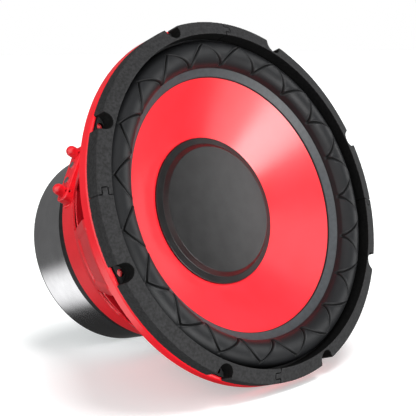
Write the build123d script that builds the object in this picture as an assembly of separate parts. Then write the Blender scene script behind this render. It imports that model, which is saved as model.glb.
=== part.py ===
"""Car subwoofer driver, built as separate parts about one shared axis.

The speaker axis lies along Y and the cone faces -Y, with +Z up.  The origin
is the centre of the screw circle, in the plane of the flange's rear face.
Angles are measured in the XZ plane from +X towards +Z, and all lengths are
in millimetres.
"""
import math
import os

from build123d import *

OUT_DIR = "parts"

# ---- driving dimensions -------------------------------------------------
SHEET = 1.6                  # basket steel
FLANGE_R = 157.0
FLANGE_FRONT = -SHEET
LIP_DEPTH = 10.0             # from the flange's front face to the lip's edge
FLANGE_INNER_R = 136.9

SCREW_COUNT = 8
SCREW_START = 15.0
SCREW_CIRCLE_R = 150.0
SCREW_HOLE_R = 2.75

# inner face of the wall behind the flange: (radius, y)
WALL = [(131.5, 44.5), (117.0, 74.5), (103.5, 98.5)]
WALL_FOOT_R = 98.0
BASKET_BEND_R = 2.4

ARM_COUNT = 8
ARM_START = 9.0
WINDOW_FRONT_W = 42.0
WINDOW_REAR_W = 31.0
WINDOW_FRONT_Y = 14.0
WINDOW_REAR_Y = 96.5
WINDOW_CORNER_R = 6.0

GASKET_FRONT = -14.4         # outer edge of the sloping front face
GASKET_CROWN = -18.0         # its inner edge
GASKET_INNER_R = 145.0
GASKET_OUTER_R = 157.0
GASKET_SEGMENTS = 4
GASKET_STEP_R = 146.3
NOTCH_R = 7.0
NOTCH_SHIFT = 4.0            # notch centre outside the screw circle
NOTCH_FLARE = 1.0
JOINT_GAP = 0.35
TONGUE_LENGTH = 6.0
TONGUE_WIDTH = 4.4
TONGUE_SPAN = 8.0            # degrees of ring that a tongue is cut from

SURROUND_T = 1.2
ROLL_OUTER_R = 143.4
ROLL_INNER_R = 119.4
ROLL_CREST = -13.9
LANDING_R = 146.0

CONE_T = 1.0
CONE_RIM_R = 119.0
CONE_RIM_Y = -0.7
CONE_KNEE_R = 60.0
CONE_KNEE_Y = 36.2
CONE_NECK_Y = 64.5
CONE_KNEE_BEND_R = 30.0
CONE_SLOPE = (CONE_KNEE_Y - CONE_RIM_Y) / (CONE_RIM_R - CONE_KNEE_R)
ATTACH_INNER_R = 112.4       # inner edge of the surround's glue ring

CAP_R = 66.0
CAP_T = 1.2
CAP_EDGE_Y = 30.8            # front of the cap's outer ring
CAP_STEP_FOOT = (60.0, 29.6)
CAP_STEP_TOP = (56.5, 25.6)
CAP_CROWN_Y = 23.6
CAP_CROWN_SLOPE = 0.07

FORMER_INNER_R = 32.0
FORMER_OUTER_R = 32.5
FORMER_FRONT = 62.5
COIL_OUTER_R = 34.0
COIL_FRONT = 118.5
COIL_REAR = 144.5

SHELF_Y = 80.5
SHELF_INNER_R = 84.0
SHELF_OUTER_R = 114.0
SPIDER_T = 0.8
SPIDER_INNER_R = 36.0
SPIDER_FLAT_R = 85.0
SPIDER_OUTER_R = 93.0
SPIDER_WAVES = 4
SPIDER_WAVE_H = 2.6
COLLAR_OUTER_R = 34.2
COLLAR_FRONT = 74.5
COLLAR_REAR = 82.5
NECK_R = 34.0
NECK_H = 3.0

BASKET_REAR = 126.5
BASKET_BORE_R = 46.0
TOP_PLATE_R = 95.5
TOP_PLATE_BORE_R = 35.2
TOP_PLATE_T = 11.0
MAGNET_INNER_R = 48.0
MAGNET_OUTER_R = 87.0
MAGNET_T = 20.0
POLE_R = 30.8
POLE_FRONT = 124.5
YOKE_T = 11.0
YOKE_R = 86.0
VENT_R = 14.0
COVER_FRONT_R = 95.0
COVER_REAR_R = 92.0
COVER_T = 1.5
COVER_CORNER_R = 6.0
COVER_HOLE_R = 17.0
COVER_GAP = 0.2              # between the cover's mouth and the top plate
SCREEN_R = 20.0
SCREEN_T = 1.2
SCREEN_SLOT_W = 2.0
SCREEN_SLOT_PITCH = 4.0
SCREEN_SLOTS = 7

RIVET_COUNT = 8
RIVET_CIRCLE_R = 72.0
RIVET_R = 2.5
RIVET_HEAD_R = 4.6
RIVET_HEAD_H = 2.0
RIVET_DEPTH = 6.0
FIT = 0.05                   # radial clearance of shanks and plungers

TERMINAL_ANGLE = 144.0
TERMINAL_Y = 108.5
TERMINAL_SIDE = 20.0         # each terminal's offset from the block's middle
PAD_FACE = 100.0             # distance from the axis to the flat pad
PAD_T = 4.0
PAD_LENGTH = 58.0
PAD_WIDTH = 18.0
BLOCK_LENGTH = 56.0
BLOCK_WIDTH = 15.0
BLOCK_H = 8.5
BLOCK_FLOOR = 1.0
BLOCK_CORNER_R = 4.0
BLOCK_BEVEL = 0.8
BUTTON_R = 5.0
BUTTON_LIFT = 4.5            # room for the spring and the contact disc
BUTTON_TIP = 118.5
BUTTON_TRAVEL = 2.0
WIRE_HOLE_R = 1.1
WIRE_HOLE_X = 106.0
CONTACT_R = 4.5
CONTACT_T = 0.5
CONTACT_POST_R = 1.5
CONTACT_POST_END = 90.0
POST_HOLE_R = 2.6
SPRING_R = 3.2
SPRING_WIRE_R = 0.25
SPRING_TURNS = 2
BLOCK_RIVET_SIDE = 8.0
BLOCK_RIVET_R = 1.6
BLOCK_RIVET_HEAD_R = 3.0
BLOCK_RIVET_HEAD_H = 1.0

EYELET_REACH = 58.0          # distance of the cone eyelets from the axis
EYELET_R = 1.4
EYELET_HEAD_R = 2.6
LEAD_R = 0.9
LEAD_BEND_R = 6.0
LEAD_PASS = 99.5             # where the leads cross the spider shelf
LEAD_END = 94.0
LEAD_LIFT_X = 66.0
LEAD_LIFT_Y = 58.5
LEAD_TURN_Y = 64.5
LEAD_DROP_Y = 90.5
LEAD_HOLE_R = 4.5

LANDING_FRONT = FLANGE_FRONT - SURROUND_T
TOP_PLATE_REAR = BASKET_REAR + TOP_PLATE_T
MAGNET_SPLIT = TOP_PLATE_REAR + MAGNET_T
MAGNET_REAR = MAGNET_SPLIT + MAGNET_T
YOKE_REAR = MAGNET_REAR + YOKE_T
COVER_REAR = YOKE_REAR + COVER_T
BLOCK_FACE = PAD_FACE + BLOCK_H
BORE_FLOOR = PAD_FACE + BLOCK_FLOOR
BUTTON_FOOT = BORE_FLOOR + BUTTON_LIFT


# ---- shared helpers -----------------------------------------------------
def turned(*points):
    """Revolve a closed (radius, y) outline about the speaker axis."""
    return revolve(make_face(Polyline(*points, close=True)), Axis.Y)


def ring(inner, outer, front, rear):
    """Plain ring between two radii and two depths."""
    return turned((inner, front), (outer, front), (outer, rear), (inner, rear))


def sheet(points, thickness, bend):
    """Revolve a bent sheet; its material lies to the right of the path."""
    path = FilletPolyline(*points, radius=bend)
    outline = Wire(path.edges()).offset_2d(thickness, side=Side.RIGHT, closed=True)
    return revolve(make_face(outline.edges()), Axis.Y)


def turn(shape, angle):
    """Swing a shape about the speaker axis, +X towards +Z."""
    return shape.rotate(Axis.Y, -angle)


def around(shape, count, start):
    """Evenly spread copies of a shape that was made at angle zero."""
    return [turn(shape, start + k * 360 / count) for k in range(count)]


def pin(radius, distance, front, rear):
    """Cylinder parallel to the speaker axis, standing at angle zero."""
    middle = Pos(distance, (front + rear) / 2, 0)
    return middle * Rot(90, 0, 0) * Cylinder(radius, rear - front)


def stud(radius, inner, outer, side):
    """Cylinder pointing away from the axis, in terminal coordinates."""
    middle = Pos((inner + outer) / 2, TERMINAL_Y, side)
    return middle * Rot(0, 90, 0) * Cylinder(radius, outer - inner)


def cross_hole(distance, side):
    """Bare-wire hole through a terminal, parallel to the speaker axis."""
    middle = Pos(distance, TERMINAL_Y, side)
    return middle * Rot(90, 0, 0) * Cylinder(WIRE_HOLE_R, BLOCK_WIDTH * 2)


def cone_y(radius):
    """Depth of the cone's front face outside its knee."""
    return CONE_RIM_Y + (CONE_RIM_R - radius) * CONE_SLOPE


# The terminal parts are drawn about +X and then swung round to their arm:
# x is the distance from the speaker axis, z runs along the block.


# ---- frame --------------------------------------------------------------
def window_cutter():
    """Rounded opening between two arms, made at angle zero."""
    outline = Polyline(
        (-WINDOW_FRONT_W / 2, WINDOW_FRONT_Y),
        (WINDOW_FRONT_W / 2, WINDOW_FRONT_Y),
        (WINDOW_REAR_W / 2, WINDOW_REAR_Y),
        (-WINDOW_REAR_W / 2, WINDOW_REAR_Y),
        close=True,
    )
    face = fillet(make_face(outline).vertices(), WINDOW_CORNER_R)
    standing = Plane(origin=(MAGNET_OUTER_R, 0, 0), x_dir=(0, 0, -1), z_dir=(1, 0, 0))
    return extrude(standing * face, FLANGE_INNER_R + 4 * SHEET - MAGNET_OUTER_R)


def terminal_pad():
    """Flat boss let into the rear of the basket for the terminal block."""
    middle = Pos(PAD_FACE - PAD_T / 2, TERMINAL_Y, 0)
    pad = middle * Box(PAD_T, PAD_WIDTH, PAD_LENGTH)
    for sign in (-1, 1):
        pad -= stud(POST_HOLE_R, MAGNET_OUTER_R, BLOCK_FACE, sign * TERMINAL_SIDE)
        pad -= stud(BLOCK_RIVET_R + FIT, MAGNET_OUTER_R, BLOCK_FACE, sign * BLOCK_RIVET_SIDE)
    return pad


def pad_clearance():
    """Slice of the wall removed in front of and behind the terminal pad."""
    depth = BLOCK_FACE - MAGNET_OUTER_R
    return Pos(MAGNET_OUTER_R + depth / 2, TERMINAL_Y, 0) * Box(depth, PAD_WIDTH, PAD_LENGTH)


def basket():
    """Stamped steel frame: lipped flange, arms, spider shelf and motor seat."""
    motor_seat = BASKET_REAR - SHEET
    body = sheet(
        [
            (FLANGE_R, FLANGE_FRONT + LIP_DEPTH),
            (FLANGE_R, FLANGE_FRONT),
            (FLANGE_INNER_R, FLANGE_FRONT),
            *WALL,
            (WALL_FOOT_R, motor_seat),
            (BASKET_BORE_R, motor_seat),
        ],
        SHEET,
        BASKET_BEND_R,
    )
    body -= around(window_cutter(), ARM_COUNT, ARM_START + 180 / ARM_COUNT)
    body += ring(SHELF_INNER_R, SHELF_OUTER_R, SHELF_Y, SHELF_Y + SHEET)
    body -= turn(pad_clearance(), TERMINAL_ANGLE)
    body += turn(terminal_pad(), TERMINAL_ANGLE)
    screw_hole = pin(SCREW_HOLE_R, SCREW_CIRCLE_R, FLANGE_FRONT - 1, 1)
    body -= around(screw_hole, SCREW_COUNT, SCREW_START)
    rivet_hole = pin(RIVET_R + FIT, RIVET_CIRCLE_R, motor_seat - 1, BASKET_REAR + 1)
    body -= around(rivet_hole, RIVET_COUNT, ARM_START)
    lead_hole = pin(LEAD_HOLE_R, LEAD_PASS, SHELF_Y - 1, SHELF_Y + SHEET + 1)
    for sign in (-1, 1):
        body -= turn(Pos(0, 0, sign * TERMINAL_SIDE) * lead_hole, TERMINAL_ANGLE)
    return body


def basket_rivets():
    """Rivets that clench the basket to the top plate."""
    seat = BASKET_REAR - SHEET
    rivet = pin(RIVET_HEAD_R, RIVET_CIRCLE_R, seat - RIVET_HEAD_H, seat)
    rivet += pin(RIVET_R, RIVET_CIRCLE_R, seat, seat + RIVET_DEPTH)
    return Compound(around(rivet, RIVET_COUNT, ARM_START))


# ---- gasket -------------------------------------------------------------
def gasket_ring(span):
    """Stepped trim ring over part of a turn, starting at angle zero."""
    profile = Polyline(
        (GASKET_INNER_R, GASKET_CROWN),
        (GASKET_OUTER_R, GASKET_FRONT),
        (GASKET_OUTER_R, FLANGE_FRONT),
        (GASKET_STEP_R, FLANGE_FRONT),
        (GASKET_STEP_R, LANDING_FRONT),
        (GASKET_INNER_R, LANDING_FRONT),
        close=True,
    )
    return turn(revolve(make_face(profile), Axis.Y, span), span)


def tongue_space(play):
    """Block at angle zero that holds a locking tongue, grown by the play."""
    middle = (GASKET_INNER_R + GASKET_OUTER_R) / 2
    depth = LANDING_FRONT - GASKET_CROWN
    root = TONGUE_WIDTH / 4
    length = TONGUE_LENGTH + play + root
    place = Pos(middle, GASKET_CROWN + depth / 2, root - length / 2)
    return place * Box(TONGUE_WIDTH + 2 * play, depth, length)


def gasket_tongue():
    """Locking tongue at angle zero, with the ring's own sloping front."""
    return turn(gasket_ring(TONGUE_SPAN), -TONGUE_SPAN / 2) & tongue_space(0)


def notch_cutter():
    """Screw clearance open to the outer edge, made at angle zero."""
    center = SCREW_CIRCLE_R + NOTCH_SHIFT
    bore = pin(NOTCH_R, center, GASKET_CROWN, FLANGE_FRONT)
    mouth = Polyline(
        (center, -NOTCH_R),
        (GASKET_OUTER_R + 1, -NOTCH_R - NOTCH_FLARE),
        (GASKET_OUTER_R + 1, NOTCH_R + NOTCH_FLARE),
        (center, NOTCH_R),
        close=True,
    )
    flat = Plane(origin=(0, FLANGE_FRONT, 0), x_dir=(1, 0, 0), z_dir=(0, -1, 0))
    return bore + extrude(flat * make_face(mouth), FLANGE_FRONT - GASKET_CROWN)


def gasket_segment(index):
    """One quarter of the trim ring, locked into the next by its tongue."""
    pitch = 360 / GASKET_SEGMENTS
    span = pitch - math.degrees(JOINT_GAP / GASKET_OUTER_R)
    body = gasket_ring(span)
    body -= turn(tongue_space(JOINT_GAP), pitch)
    body += gasket_tongue()
    notch = notch_cutter()
    for k in range(SCREW_COUNT // GASKET_SEGMENTS):
        body -= turn(notch, (k + 0.5) * 360 / SCREW_COUNT)
    return turn(body, SCREW_START - 180 / SCREW_COUNT + index * pitch)


# ---- moving parts -------------------------------------------------------
def surround():
    """Half-roll edge with a flat landing outside and a glue ring inside."""
    roll_mid = (ROLL_OUTER_R + ROLL_INNER_R) / 2
    lift = SURROUND_T * math.hypot(1, CONE_SLOPE)
    outer_foot = (ROLL_OUTER_R, LANDING_FRONT)
    inner_foot = (ROLL_INNER_R, cone_y(ROLL_INNER_R) - lift)
    under_inner = (ROLL_INNER_R + SURROUND_T, CONE_RIM_Y)
    under_outer = (ROLL_OUTER_R - SURROUND_T, FLANGE_FRONT)
    front = ThreePointArc(outer_foot, (roll_mid, ROLL_CREST), inner_foot)
    rear = ThreePointArc(under_inner, (roll_mid, ROLL_CREST + SURROUND_T), under_outer)
    glue = Polyline(
        inner_foot,
        (ATTACH_INNER_R, cone_y(ATTACH_INNER_R) - lift),
        (ATTACH_INNER_R, cone_y(ATTACH_INNER_R)),
        (CONE_RIM_R, CONE_RIM_Y),
        under_inner,
    )
    landing = Polyline(
        under_outer,
        (LANDING_R, FLANGE_FRONT),
        (LANDING_R, LANDING_FRONT),
        outer_foot,
    )
    outline = front.edges() + glue.edges() + rear.edges() + landing.edges()
    return revolve(make_face(outline), Axis.Y)


def eyelet_places():
    """Centres of the two lead eyelets, in terminal coordinates."""
    radius = math.hypot(EYELET_REACH, TERMINAL_SIDE)
    y = cone_y(radius) + CONE_T / 2
    return [(EYELET_REACH, y, sign * TERMINAL_SIDE) for sign in (-1, 1)]


def cone():
    """Dished cone with a glue neck round the voice-coil former."""
    body = sheet(
        [
            (CONE_RIM_R, CONE_RIM_Y),
            (CONE_KNEE_R, CONE_KNEE_Y),
            (FORMER_OUTER_R + CONE_T, CONE_NECK_Y),
        ],
        CONE_T,
        CONE_KNEE_BEND_R,
    )
    body += ring(FORMER_OUTER_R, NECK_R, CONE_NECK_Y - NECK_H / 2, CONE_NECK_Y + NECK_H)
    for place in eyelet_places():
        hole = Pos(*place) * Rot(90, 0, 0) * Cylinder(EYELET_R, EYELET_HEAD_R * 4)
        body -= turn(hole, TERMINAL_ANGLE)
    return body


def cone_eyelets(cone_body):
    """Domed eyelets clenched through the cone, one for each lead."""
    shapes = []
    for place in eyelet_places():
        ball = turn(Pos(*place) * Sphere(EYELET_HEAD_R), TERMINAL_ANGLE)
        shapes += (ball - cone_body).solids()
    return Compound(shapes)


def dust_cap():
    """Shallow puck raised from a narrow ring that is glued to the cone."""
    inner = CAP_R - CAP_T
    foot_r, foot_y = CAP_STEP_FOOT
    top_r, top_y = CAP_STEP_TOP
    slopes = [(1, 0), (1, CAP_CROWN_SLOPE)]
    crown = Spline((0, CAP_CROWN_Y), (top_r, top_y), tangents=slopes)
    under_top = (top_r - CAP_T / 2, top_y + CAP_T)
    under = Spline((0, CAP_CROWN_Y + CAP_T), under_top, tangents=slopes)
    edge = Polyline(
        (top_r, top_y),
        (foot_r, foot_y),
        (CAP_R, CAP_EDGE_Y),
        (CAP_R, cone_y(CAP_R)),
        (inner, cone_y(inner)),
        (inner, CAP_EDGE_Y + CAP_T),
        (foot_r - CAP_T / 2, foot_y + CAP_T),
        under_top,
    )
    axis = Line((0, CAP_CROWN_Y + CAP_T), (0, CAP_CROWN_Y))
    outline = crown.edges() + edge.edges() + under.edges() + axis.edges()
    return revolve(make_face(outline), Axis.Y)


def voice_coil_former():
    return ring(FORMER_INNER_R, FORMER_OUTER_R, FORMER_FRONT, COIL_REAR)


def voice_coil_winding():
    return ring(FORMER_OUTER_R, COIL_OUTER_R, COIL_FRONT, COIL_REAR)


def spider():
    """Corrugated centring disc with a flat landing and an inner collar."""
    flat = SHELF_Y - SPIDER_T
    points = []
    for k in range(4 * SPIDER_WAVES + 1):
        part = k / (4 * SPIDER_WAVES)
        radius = SPIDER_INNER_R + part * (SPIDER_FLAT_R - SPIDER_INNER_R)
        rise = (1 - math.cos(2 * math.pi * SPIDER_WAVES * part)) / 2
        points.append((radius, flat - SPIDER_WAVE_H * rise))
    front = Spline(*points, tangents=[(1, 0), (1, 0)])
    rear = Pos(0, SPIDER_T, 0) * front
    outside = Polyline(
        (SPIDER_FLAT_R, flat),
        (SPIDER_OUTER_R, flat),
        (SPIDER_OUTER_R, SHELF_Y),
        (SPIDER_FLAT_R, SHELF_Y),
    )
    inside = Polyline(
        (SPIDER_INNER_R, SHELF_Y),
        (FORMER_OUTER_R, SHELF_Y),
        (FORMER_OUTER_R, flat),
        (SPIDER_INNER_R, flat),
    )
    outline = front.edges() + outside.edges() + rear.edges() + inside.edges()
    body = revolve(make_face(outline), Axis.Y)
    return body + ring(FORMER_OUTER_R, COLLAR_OUTER_R, COLLAR_FRONT, COLLAR_REAR)


# ---- motor --------------------------------------------------------------
def top_plate():
    body = ring(TOP_PLATE_BORE_R, TOP_PLATE_R, BASKET_REAR, TOP_PLATE_REAR)
    hole = pin(RIVET_R + FIT, RIVET_CIRCLE_R, BASKET_REAR, BASKET_REAR + RIVET_DEPTH)
    return body - around(hole, RIVET_COUNT, ARM_START)


def front_magnet():
    return ring(MAGNET_INNER_R, MAGNET_OUTER_R, TOP_PLATE_REAR, MAGNET_SPLIT)


def rear_magnet():
    return ring(MAGNET_INNER_R, MAGNET_OUTER_R, MAGNET_SPLIT, MAGNET_REAR)


def pole_yoke():
    """Back plate and vented pole in one piece, recessed for the screen."""
    recess = YOKE_REAR - SCREEN_T
    return turned(
        (VENT_R, POLE_FRONT),
        (POLE_R, POLE_FRONT),
        (POLE_R, MAGNET_REAR),
        (YOKE_R, MAGNET_REAR),
        (YOKE_R, YOKE_REAR),
        (SCREEN_R + FIT, YOKE_REAR),
        (SCREEN_R + FIT, recess),
        (VENT_R, recess),
    )


def vent_screen():
    """Slotted disc across the rear mouth of the vent."""
    body = ring(0, SCREEN_R, YOKE_REAR - SCREEN_T, YOKE_REAR)
    for k in range(SCREEN_SLOTS):
        x = (k - (SCREEN_SLOTS - 1) / 2) * SCREEN_SLOT_PITCH
        half = math.sqrt(VENT_R ** 2 - x ** 2) - SCREEN_T
        slot = Box(SCREEN_SLOT_W, 4 * SCREEN_T, 2 * half)
        body -= Pos(x, YOKE_REAR, 0) * slot
    return body


def magnet_cover():
    """Polished cup over the magnets, open at the front."""
    return sheet(
        [
            (COVER_HOLE_R, COVER_REAR),
            (COVER_REAR_R, COVER_REAR),
            (COVER_FRONT_R, TOP_PLATE_REAR + COVER_GAP),
        ],
        COVER_T,
        COVER_CORNER_R,
    )


# ---- terminals ----------------------------------------------------------
def terminal_block():
    """Moulded block with a bore for each button, in terminal coordinates."""
    middle = Pos(PAD_FACE + BLOCK_H / 2, TERMINAL_Y, 0)
    body = middle * Box(BLOCK_H, BLOCK_WIDTH, BLOCK_LENGTH)
    body = fillet(body.edges().filter_by(Axis.X), BLOCK_CORNER_R)
    body = chamfer(body.faces().sort_by(Axis.X)[-1].edges(), BLOCK_BEVEL)
    for sign in (-1, 1):
        side = sign * TERMINAL_SIDE
        body -= stud(BUTTON_R + FIT, BORE_FLOOR, BLOCK_FACE, side)
        body -= stud(CONTACT_POST_R, PAD_FACE, BORE_FLOOR, side)
        body -= cross_hole(WIRE_HOLE_X, side)
        body -= stud(BLOCK_RIVET_R + FIT, PAD_FACE, BLOCK_FACE, sign * BLOCK_RIVET_SIDE)
    return body


def block_rivets():
    shapes = []
    inner = PAD_FACE - PAD_T
    for sign in (-1, 1):
        side = sign * BLOCK_RIVET_SIDE
        rivet = stud(BLOCK_RIVET_R, inner, BLOCK_FACE, side)
        rivet += stud(BLOCK_RIVET_HEAD_R, inner - BLOCK_RIVET_HEAD_H, inner, side)
        rivet += stud(BLOCK_RIVET_HEAD_R, BLOCK_FACE, BLOCK_FACE + BLOCK_RIVET_HEAD_H, side)
        shapes.append(rivet)
    return Compound(shapes)


def terminal_button(side):
    """Round-ended push button with a cross hole for the bare wire."""
    dome = BUTTON_TIP - BUTTON_R
    body = stud(BUTTON_R, BUTTON_FOOT, dome, side)
    body += Pos(dome, TERMINAL_Y, side) * Sphere(BUTTON_R)
    return body - cross_hole(WIRE_HOLE_X + BUTTON_TRAVEL, side)


def terminal_contact(side):
    """Brass disc under the button with a post through to the lead."""
    disc = stud(CONTACT_R, BORE_FLOOR, BORE_FLOOR + CONTACT_T, side)
    return disc + stud(CONTACT_POST_R, CONTACT_POST_END, BORE_FLOOR, side)


def terminal_spring(side):
    """Coil spring between the contact and the foot of its button."""
    start = BORE_FLOOR + CONTACT_T + SPRING_WIRE_R
    height = BUTTON_FOOT - SPRING_WIRE_R - start
    path = Helix(pitch=height / SPRING_TURNS, height=height, radius=SPRING_R)
    section = Plane(origin=path @ 0, z_dir=path % 0) * Circle(SPRING_WIRE_R)
    coil = sweep(section, path=path)
    return Pos(start, TERMINAL_Y, side) * Rot(0, 90, 0) * coil


def tinsel_lead(place):
    """Flexible lead from a cone eyelet to its terminal post."""
    x, y, side = place
    first = (LEAD_LIFT_X, LEAD_LIFT_Y)
    run = math.dist((x, y), first)
    start_x = x + (first[0] - x) * EYELET_HEAD_R / run
    start_y = y + (first[1] - y) * EYELET_HEAD_R / run
    points = [
        (start_x, start_y, side),
        (*first, side),
        (LEAD_PASS, LEAD_TURN_Y, side),
        (LEAD_PASS, LEAD_DROP_Y, side),
        (LEAD_END, LEAD_DROP_Y + LEAD_BEND_R, side),
        (LEAD_END, TERMINAL_Y - CONTACT_POST_R, side),
    ]
    path = FilletPolyline(*points, radius=LEAD_BEND_R)
    section = Plane(origin=path @ 0, z_dir=path % 0) * Circle(LEAD_R)
    return sweep(section, path=path)


# ---- assembly -----------------------------------------------------------
def build_parts():
    cone_body = cone()
    parts = {
        "basket": basket(),
        "basket_rivets": basket_rivets(),
        "surround": surround(),
        "cone": cone_body,
        "cone_eyelets": cone_eyelets(cone_body),
        "dust_cap": dust_cap(),
        "voice_coil_former": voice_coil_former(),
        "voice_coil_winding": voice_coil_winding(),
        "spider": spider(),
        "top_plate": top_plate(),
        "front_magnet": front_magnet(),
        "rear_magnet": rear_magnet(),
        "pole_yoke": pole_yoke(),
        "magnet_cover": magnet_cover(),
        "vent_screen": vent_screen(),
        "terminal_block": turn(terminal_block(), TERMINAL_ANGLE),
        "terminal_block_rivets": turn(block_rivets(), TERMINAL_ANGLE),
    }
    corners = ("upper_right", "upper_left", "lower_left", "lower_right")
    for index, corner in enumerate(corners):
        parts["gasket_segment_" + corner] = gasket_segment(index)
    for sign, place in zip(("negative", "positive"), eyelet_places()):
        side = place[2]
        parts["terminal_button_" + sign] = turn(terminal_button(side), TERMINAL_ANGLE)
        parts["terminal_contact_" + sign] = turn(terminal_contact(side), TERMINAL_ANGLE)
        parts["terminal_spring_" + sign] = turn(terminal_spring(side), TERMINAL_ANGLE)
        parts["tinsel_lead_" + sign] = turn(tinsel_lead(place), TERMINAL_ANGLE)
    return parts


os.makedirs(OUT_DIR, exist_ok=True)
for name, shape in build_parts().items():
    export_step(shape, f"{OUT_DIR}/{name}.step")
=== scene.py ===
"""Looks of a car subwoofer driver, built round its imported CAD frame.

The speaker axis lies along Y, the cone faces -Y and +Z is up.  Shapes are
drawn in millimetres about that axis and turned into metres when they are made.
"""
import math

import bmesh
import bpy
import numpy as np
from mathutils import Euler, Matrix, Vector

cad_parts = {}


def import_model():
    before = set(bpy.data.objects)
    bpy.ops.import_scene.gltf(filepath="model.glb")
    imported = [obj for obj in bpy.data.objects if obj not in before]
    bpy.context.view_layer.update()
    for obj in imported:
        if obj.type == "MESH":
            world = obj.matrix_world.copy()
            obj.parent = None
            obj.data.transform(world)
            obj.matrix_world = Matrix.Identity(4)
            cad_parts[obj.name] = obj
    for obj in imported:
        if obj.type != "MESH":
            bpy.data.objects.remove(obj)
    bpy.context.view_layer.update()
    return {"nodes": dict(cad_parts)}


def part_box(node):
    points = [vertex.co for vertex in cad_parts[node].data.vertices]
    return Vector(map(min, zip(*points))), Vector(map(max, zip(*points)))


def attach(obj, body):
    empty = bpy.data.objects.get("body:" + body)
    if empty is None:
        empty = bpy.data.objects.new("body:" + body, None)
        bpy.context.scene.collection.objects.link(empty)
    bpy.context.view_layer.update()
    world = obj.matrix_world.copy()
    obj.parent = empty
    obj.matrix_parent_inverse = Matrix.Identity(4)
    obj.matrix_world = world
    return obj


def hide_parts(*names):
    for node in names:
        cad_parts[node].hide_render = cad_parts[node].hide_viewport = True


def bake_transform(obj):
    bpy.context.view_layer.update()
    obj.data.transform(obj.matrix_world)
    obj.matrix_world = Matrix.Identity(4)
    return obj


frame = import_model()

MM = 0.001
SMOOTH_UP_TO = math.radians(38)      # edges sharper than this stay crisp
TURNS = 360                          # steps round the axis on plain turned pieces

# ---- camera, floor and light --------------------------------------------
CAMERA_PLACE = (-0.6009, -0.6079, -0.0748)
CAMERA_TURN = (95.25, 14.35, -41.52)
LENS = 86.5
SENSOR = 36.0
FLOOR_SIZE = 40.0                    # metres to each side, so that no edge shows
FLOOR_DROP = 0.0005
FLOOR_GLOW = (0.33, 0.35, 0.35)      # lifts the floor; evens out the red it catches
RIM_TOUCH_Y = 0.01                   # where the rim meets the floor, behind its front
COVER_TOUCH = 0.003                  # and the cover, in from its box's lower rear edge
OVERHEAD = (0.11, -0.56, 0.88)       # direction of the broad lamp over the floor
OVERHEAD_POWER = 2.5
OVERHEAD_SPREAD = 30                 # degrees
AMBIENT = (0.03, 0.17)               # studio light from below and from above
AMBIENT_FADE = (84, 111)             # degrees from straight up over which it dims
SOFTBOXES = [                        # direction, degrees filled, degrees to nothing, power
    ((-0.10, -0.86, -0.50), 7, 19, 13.0),
    ((0.26, -0.68, -0.68), 3, 26, 2.6),
    ((-0.14, -0.82, 0.56), 14, 28, 1.3),
    ((0.86, -0.50, 0.10), 5, 25, 3.6),
    ((-0.43, 0.83, -0.34), 0, 20, 1.9),
    ((-0.95, -0.25, 0.10), 15, 60, 1.9),
]

# ---- basket --------------------------------------------------------------
SHEET = 1.6
BEND_R = 2.4
FLANGE_BEND = 4.5                    # how far a bend reaches into the rows beside it
LIP_R = 157.0
LIP_EDGE_Y = 8.4
FLANGE_Y = -1.6
FLANGE_INNER_R = 136.9
WALL = [(131.5, 44.5), (117.0, 74.5), (103.5, 98.5), (98.0, 124.9)]
BORE_R = 46.0
ARMS = 8
FIRST_WINDOW = 31.5
WINDOW_FRONT = (14.0, 42.0)          # y and width of a window's front edge
WINDOW_REAR = (96.5, 31.0)
WINDOW_CORNER = 6.0
WINDOW_COLUMNS = 12                  # mesh columns across a window and an arm
ARM_COLUMNS = 36
PANEL_Y = (24.0, 86.0)
PANEL_MARGIN = 6.5
PANEL_DEPTH = 1.6
PANEL_SLOPE = 3.0
SCREWS = 8
FIRST_SCREW = 15.0
SCREW_CIRCLE_R = 150.0
SCREW_HOLE_R = 2.75
HOLE_SIDES = 24
SHELF_Y = 80.5
SHELF_R = (84.0, 113.4)
PAD_ANGLE = 144.0                    # the terminal's pad and buttons face this way
PAD_MIDDLE = (98.0, 108.5)
PAD_SIZE = (4.0, 18.0, 58.0)

# ---- gasket --------------------------------------------------------------
SEGMENTS = {"upper_right": (15, 60), "upper_left": (105, 150),
            "lower_left": (195, 240), "lower_right": (285, 330)}
NOTCH_R = 7.3
NOTCH_CIRCLE_R = 154.0
RECESS_EDGE_R = 154.2                # the recess floors stop short of the rim
RECESS_Y = -4.2
RECESS_HOLE_R = 3.2
RECESS_SIDES = 48
RIM_SKIN = 1.2                       # outermost part of the gasket, which keeps the face's rubber rather than the painted shade of the sides

# ---- surround ------------------------------------------------------------
RUBBER = 1.2
ROLL_OUTER_R = 143.4
ROLL_INNER_R = 119.4
ROLL_CREST = -13.9
LANDING_R = 146.0
LANDING_Y = -2.8
RIM_R = 119.0
RIM_Y = -0.7
CONE_SLOPE = 0.6254
GLUE_R = 112.4
GLUE_EDGE = 0.5                      # rounded inner edge of the glue ring
UNDER_STEPS = 24
ARCHES = 20
FIRST_ARCH = 3.4                     # angle of an arch's outer point
ARCH_INNER = 0.14                    # where the lines start and end, as shares
ARCH_OUTER = 0.71                    # of the way from the roll's inner foot
ARCH_FADE = 0.06
LINE_GAP = 0.04                      # share of a pitch between lines at the inner foot
LINE_SLANT = 0.72                    # narrows a distance round the roll to one across a line
LINE_WIDTH = 0.62
LINE_DEPTH = 1.1
LINE_RIM = (0.3, 2.3)                # height and offset of its raised rims, to depth and width
PAD_RISE = 0.5
LINE_BEND = 1.55                     # above one, the lines set off straight outwards
ROLL_TURNS = 1800
ROLL_STEPS = 76

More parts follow.
